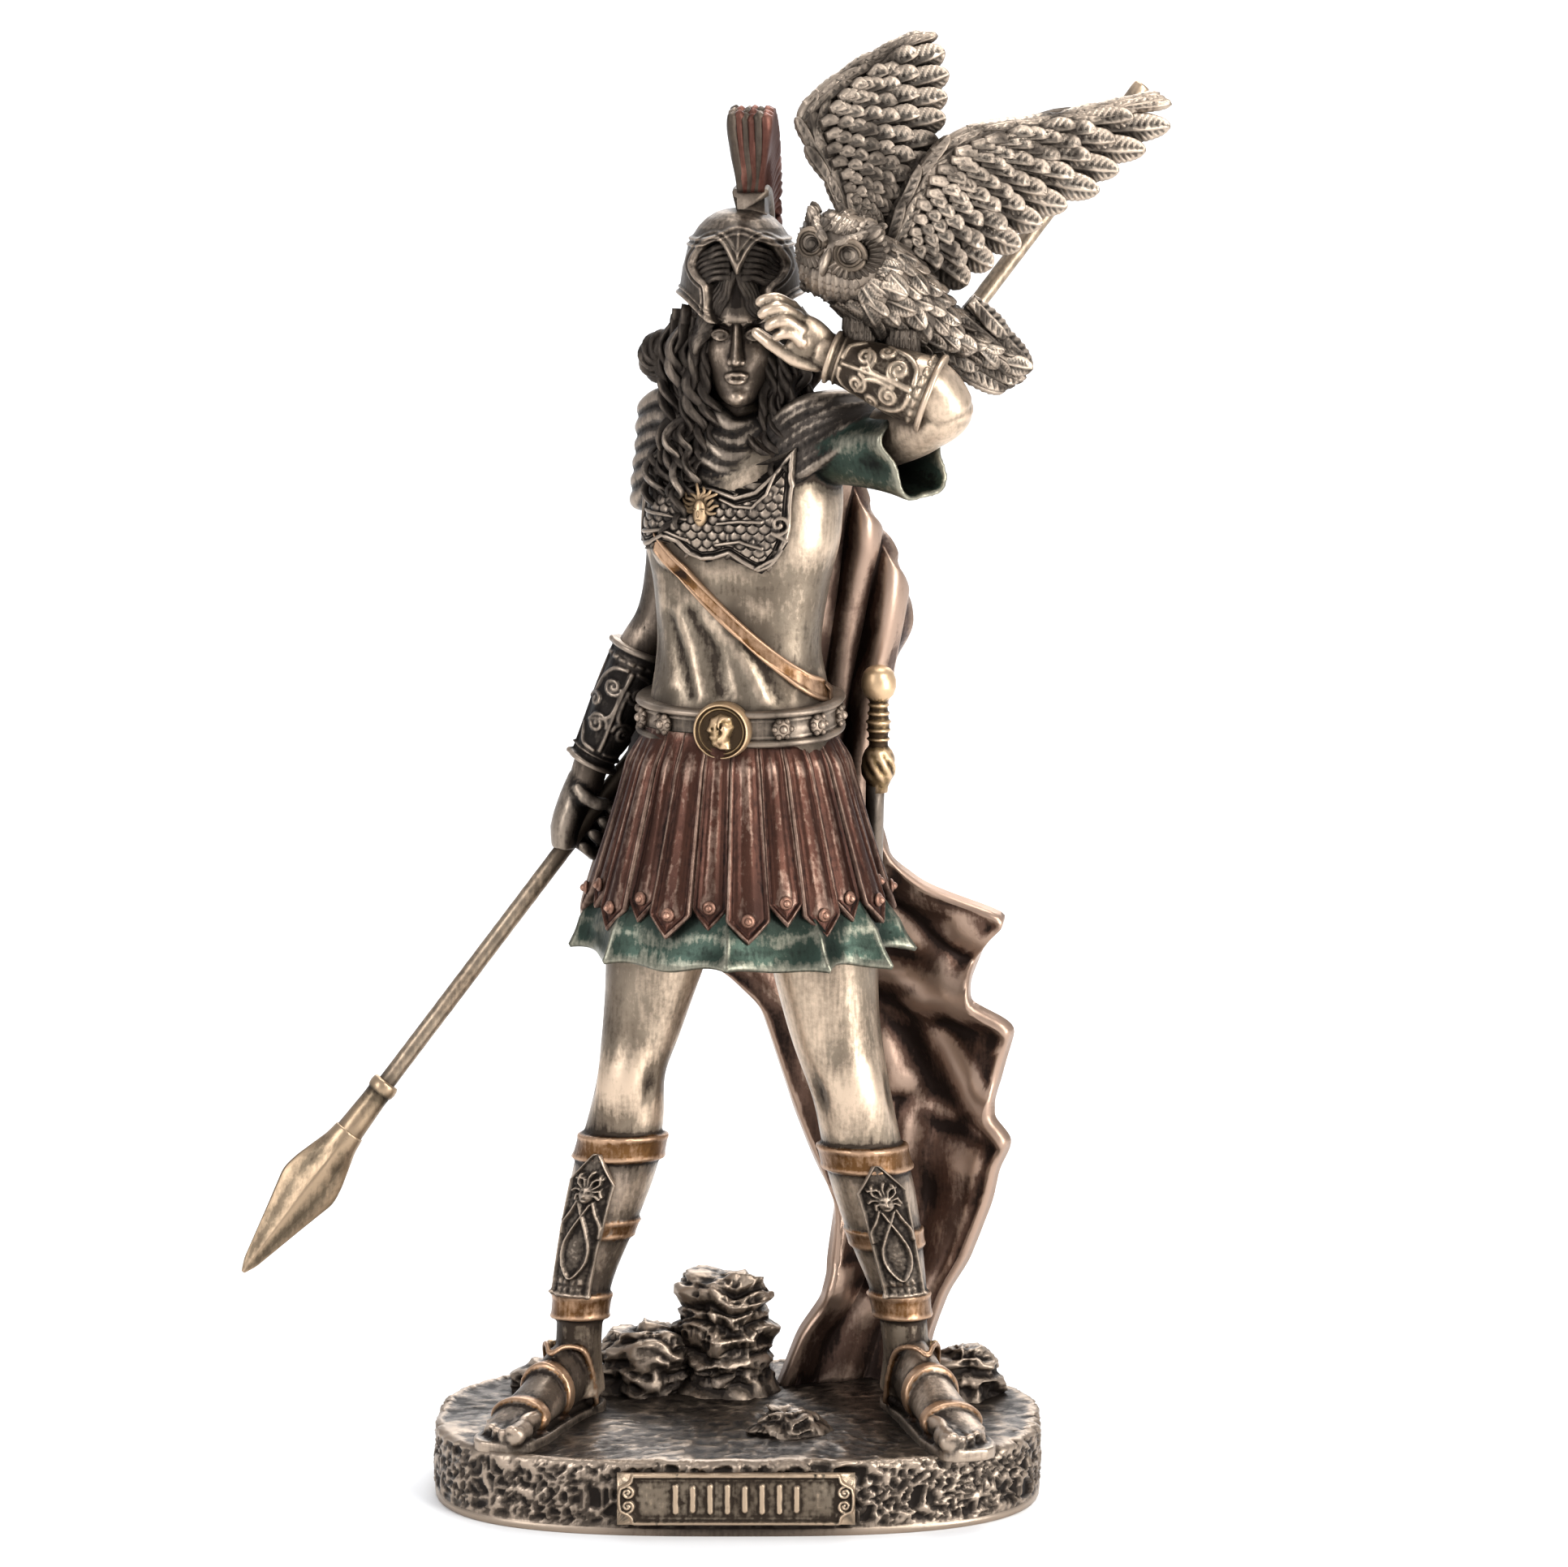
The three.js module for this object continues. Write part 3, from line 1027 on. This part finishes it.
const OWL_DRAWN = 60;
const owlUnit = OWL_LENGTH / OWL_DRAWN;
const perch = place(29, -25.6, 216);
const owlAt = (x, y, z) => perch.clone().add(new THREE.Vector3(x, y, z).multiplyScalar(owlUnit));

function owlEgg(x, y, z, radii, across = X, up = Z, segments = 8, rows = 6) {
  return egg(owlAt(x, y, z), radii.map((r) => r * owlUnit / UNIT), across, up, segments, rows);
}

const owlCurve = (points) => new THREE.CatmullRomCurve3(points.map((p) => owlAt(...p)));

// A tapering bone through owl points with a radius at each end
function bone(points, thick, thin, sides, steps) {
  const curve = owlCurve(points);
  const sections = [];
  for (let i = 0; i <= steps; i++) {
    const t = i / steps;
    const r = mix(thick, thin, t) * owlUnit;
    const along = curve.getTangentAt(t);
    const side = new THREE.Vector3().crossVectors(along, Y).normalize();
    const deep = new THREE.Vector3().crossVectors(along, side);
    sections.push(ring(curve.getPointAt(t), side, deep, r, r, r, sides));
  }
  return loft(sections);
}

// Feathers side by side, with their roots on one curve and their tips on another
function featherRow(roots, tips, count, width, normal, lift) {
  const [rootCurve, tipCurve] = [owlCurve(roots), owlCurve(tips)];
  const feathers = [];
  for (let i = 0; i < count; i++) {
    const t = i / (count - 1);
    const raise = normal.clone().multiplyScalar((lift + 0.3 * (i % 2)) * owlUnit);
    const [root, tip] = [rootCurve.getPointAt(t).add(raise), tipCurve.getPointAt(t).add(raise)];
    feathers.push(feather(root, tip, normal, width * owlUnit, 1.7 * owlUnit));
  }
  return feathers;
}

function wing({ lead, root, hem, normal, rows }) {
  const edge = owlCurve(lead);
  const back = owlCurve([root, hem]);
  const web = sheet(5, 2, (u, v) => edge.getPointAt(u).lerp(back.getPointAt(u), v * 0.7), () => 2 * owlUnit);
  const row = ([roots, tips, count, width, lift]) => featherRow(roots, tips, count, width, normal, lift);
  const feathers = rows.flatMap(row);
  return union([bone(lead, 3, 1.5, 6, 8), web, ...feathers]);
}

function owlWings() {
  const right = {
    lead: [[-3.5, 10, 22], [-9, 12.7, 34], [-14, 14, 43.4], [-10.8, 16, 47.6], [-3.4, 17.2, 53.8], [6.6, 19, 60.4]],
    root: [3, 12, 20],
    hem: [10, 18, 54],
    normal: new THREE.Vector3(0.2, -0.96, -0.1).normalize(),
    rows: [
      [
        [[-2, 17.6, 54], [-9, 14.8, 44], [-3, 12.4, 26]],
        [[9, 19.4, 60.6], [11.6, 15.6, 44.6], [4.4, 12.4, 25.6]], 9, 6.2, -0.5,
      ],
      [
        [[-7, 16.4, 51], [-11.4, 14, 41], [-5, 12, 26]],
        [[3.6, 17.2, 52.6], [3.4, 14.6, 40.4], [1, 12.4, 25.6]], 6, 5.6, 0.8,
      ],
      [
        [[-11.6, 15, 47.4], [-12, 13, 39], [-6, 11.4, 27]],
        [[-4.4, 15.6, 45.4], [-4.4, 13.6, 35.6], [-1, 12, 24.6]], 5, 5, 2,
      ],
    ],
  };
  const left = {
    lead: [
      [2.6, 9, 18], [6.6, 11, 33], [12, 13, 39.6], [19, 15, 42.2], [33, 17, 44.2], [40, 19, 46], [54.6, 22, 48.2],
    ],
    root: [14, 12, 14],
    hem: [47, 20, 37],
    normal: new THREE.Vector3(0.06, -0.98, -0.16).normalize(),
    rows: [
      [
        [[38, 18.6, 45], [16, 14, 38], [5, 10.4, 20]],
        [[56.6, 22.4, 46.6], [40, 18.8, 30], [16, 13.4, 14.6]], 11, 6.4, -0.5,
      ],
      [
        [[34, 17.6, 44], [15, 13.6, 37.6], [5, 10.4, 22]],
        [[44, 19.4, 40.6], [27, 16, 30], [11.4, 12, 18]], 7, 5.8, 0.8,
      ],
      [
        [[24, 16, 42.6], [13, 13, 36.6], [5, 10.4, 24]],
        [[31, 16.6, 38], [20, 14, 30], [8.4, 11.4, 19]], 5, 5.2, 2,
      ],
    ],
  };
  return union([wing(right), wing(left)]);
}

function owlBody() {
  const body = [
    [-8, 2, 18, 7, 7], [-3, 4.5, 14.4, 9, 8.8], [2.5, 7, 9.6, 8.4, 8.2], [8, 9.5, 5.4, 6.8, 6.2],
    [13.5, 12, 2.2, 5, 3.8], [20, 15, -0.8, 4.6, 2.6], [26.6, 18.4, -4.6, 3.4, 1.4],
  ];
  const path = body.map(([x, y, z]) => owlAt(x, y, z));
  const trunk = loft(body.map(([, , , a, b], i) => {
    const along = path[Math.min(i + 1, path.length - 1)].clone().sub(path[Math.max(i - 1, 0)]).normalize();
    const side = new THREE.Vector3().crossVectors(Z, along).normalize();
    const deep = new THREE.Vector3().crossVectors(along, side);
    return ring(path[i], side, deep, a * owlUnit, b * owlUnit, b * owlUnit, 10);
  }));
  const parts = [trunk];
  const down = new THREE.Vector3(0.7, 0.3, -0.56).normalize();
  const above = new THREE.Vector3(0.4, -0.7, 0.6).normalize();
  for (let i = 0; i < 4; i++) {
    const spread = (i - 1.5) * 2.2;
    const root = owlAt(13 + spread * 0.3, 11.4 - spread * 0.6, 2.6 + spread * 0.4);
    const tip = owlAt(28 + spread * 0.3, 18.4 - spread * 1.1, -5.4 + spread * 0.9);
    parts.push(feather(root, tip, above, 5 * owlUnit, 1.7 * owlUnit));
  }
  // Breast feathers in staggered rows on the side that faces forward
  for (let row = 0; row < 4; row++) {
    for (let k = 0; k < 3; k++) {
      const t = row / 3;
      const turn = (-50 + 42 * (k + (row % 2) / 2)) * DEGREE;
      const centre = new THREE.Vector3(mix(-4.5, 10, t), mix(4.6, 10, t), mix(15, 4.4, t));
      const out = new THREE.Vector3(-0.5 * Math.sin(turn), -Math.cos(turn), -0.8 * Math.sin(turn)).normalize();
      const middle = owlAt(...centre.addScaledVector(out, mix(8, 5.2, t)).toArray());
      const root = middle.clone().addScaledVector(down, -2.5 * owlUnit);
      const tip = middle.clone().addScaledVector(down, 3.6 * owlUnit);
      parts.push(feather(root, tip, out, 5 * owlUnit, 1.7 * owlUnit));
    }
  }
  return union(parts);
}

function owlHead() {
  const yaw = -24;
  const roll = -14 * DEGREE;
  const flat = turned(yaw);
  const ahead = turned(yaw - 90);
  const side = flat.clone().multiplyScalar(Math.cos(roll)).addScaledVector(Z, Math.sin(roll));
  const up = new THREE.Vector3().crossVectors(side, ahead).negate();
  const centre = new THREE.Vector3(-8.2, 1.6, 19.4);
  const at = (a, forward, rise) => centre.clone().addScaledVector(side, a).addScaledVector(ahead, forward)
    .addScaledVector(up, rise).toArray();
  const parts = [owlEgg(...centre, [9.6, 8.6, 7.6], side, up, 10, 7)];
  const raised = ahead.clone().addScaledVector(up, 0.5).normalize();
  for (const s of [-1, 1]) {
    const disc = owlEgg(...at(s * 4.4, 6.4, 0.4), [4.5, 2.8, 4.5], side, up, 9, 5);
    const dent = owlEgg(...at(s * 4.3, 9.4, 0.6), [3.3, 1.9, 3.2], side, up, 8, 4);
    parts.push(disc.subtract(dent), owlEgg(...at(s * 4, 7.4, 0.7), [1.7, 1.3, 1.7], side, up, 7, 4));
    const [tuftRoot, tuftTip] = [owlAt(...at(s * 1.4, 7.6, 3.6)), owlAt(...at(s * 9.2, 2.6, 8.2))];
    parts.push(feather(tuftRoot, tuftTip, raised, 4 * owlUnit, 2.4 * owlUnit, 0.3));
  }
  const beak = [[4.4, 0.8, 7.6], [1.2, 1.5, 10], [-3.8, 0.3, 8.7]].map(([rise, w, out]) => [
    owlAt(...at(-w, out - 1.2, rise)), owlAt(...at(0, out, rise)),
    owlAt(...at(w, out - 1.2, rise)), owlAt(...at(0, out - 4, rise)),
  ]);
  parts.push(loft(beak));
  for (let i = 0; i < 6; i++) {
    const angle = (196 + i * 29) * DEGREE;
    const [c, s] = [Math.cos(angle), Math.sin(angle)];
    const [root, tip] = [owlAt(...at(c * 5.4, 4, s * 4.6)), owlAt(...at(c * 9.6, 2, s * 8.8))];
    parts.push(feather(root, tip, ahead, 5 * owlUnit, 2.2 * owlUnit));
  }
  return union(parts);
}

function owlSolid() {
  const legs = [[-5, 0.4], [3.4, -0.4]].map(([x, y]) => {
    const slope = (s) => 1.6 - 0.37 * (x + s * 1.9);
    const parts = [owlEgg(x, y + 2.6, slope(0) + 2.6, [3, 3.2, 4], X, Z, 7, 5)];
    for (const s of [-1, 0, 1]) {
      const [knuckle, claw] = [[x + s * 1.9, y - 3.6, slope(s) + 1.6], [x + s * 2.2, y - 6.6, slope(s) - 1.6]];
      parts.push(bone([[x, y + 1, slope(0) + 2.6], knuckle, claw], 1.6, 0.8, 4, 2));
    }
    return union(parts);
  });
  return union([owlBody(), owlHead(), owlWings(), ...legs]);
}

// Assembly

const across = new THREE.Vector3(0, 0, 1);
const body = torso();
const clothed = caster(body);
const statue = union([
  plinth(), rocks(), legs(), skirt(), body, belt(), baldric(clothed), collar(clothed),
  limb(RIGHT_ARM, 12), bracer(BRACER_RIGHT, X), rightHand(GRIP, spearLine),
  limb(LEFT_ARM, 12, across), bracer(BRACER_LEFT, across), leftHand(), leftSleeve(), shoulderFolds(),
  face(), helmet(), crest(), hair(), cape(), sword(),
]);
const boreRadius = SHAFT_DIAMETER / 2 + FIT_GAP;
const spearRoom = turnedSolid(spearTip, [[0, boreRadius], [SPEAR_LENGTH, boreRadius]], 16);
const plateRoom = plateSlab(FIT_GAP, plateFront, PLATE_THICKNESS + FIT_GAP);
const cuffed = BRACER_LEFT.map(([x, y, z, a, b]) => [x, y, z, a + BRACER_LIP, b + BRACER_LIP]);
const forearmRoom = limb(cuffed, ARM_SIDES, across, FIT_GAP + FACET_ALLOWANCE);

const bronze = { color: 0x7a6a58, roughness: 0.42, metalness: 0.85 };
const pale = { color: 0x8f7a5c, roughness: 0.38, metalness: 0.9 };

function meshOf(name, manifold, look) {
  const mesh = new THREE.Mesh(geometryOf(manifold), new THREE.MeshStandardMaterial(look));
  mesh.name = name;
  return mesh;
}

const figurine = new THREE.Group();
figurine.add(
  meshOf('statue', lighten(statue, FACET_ALLOWANCE).subtract(spearRoom).subtract(plateRoom), bronze),
  meshOf('owl', lighten(owlSolid(), FACET_ALLOWANCE).subtract(forearmRoom), bronze),
  meshOf('spear_shaft', shaft(), pale),
  meshOf('spear_head', spearhead(), pale),
  meshOf('name_plate', namePlate(), pale),
);

export default figurine;
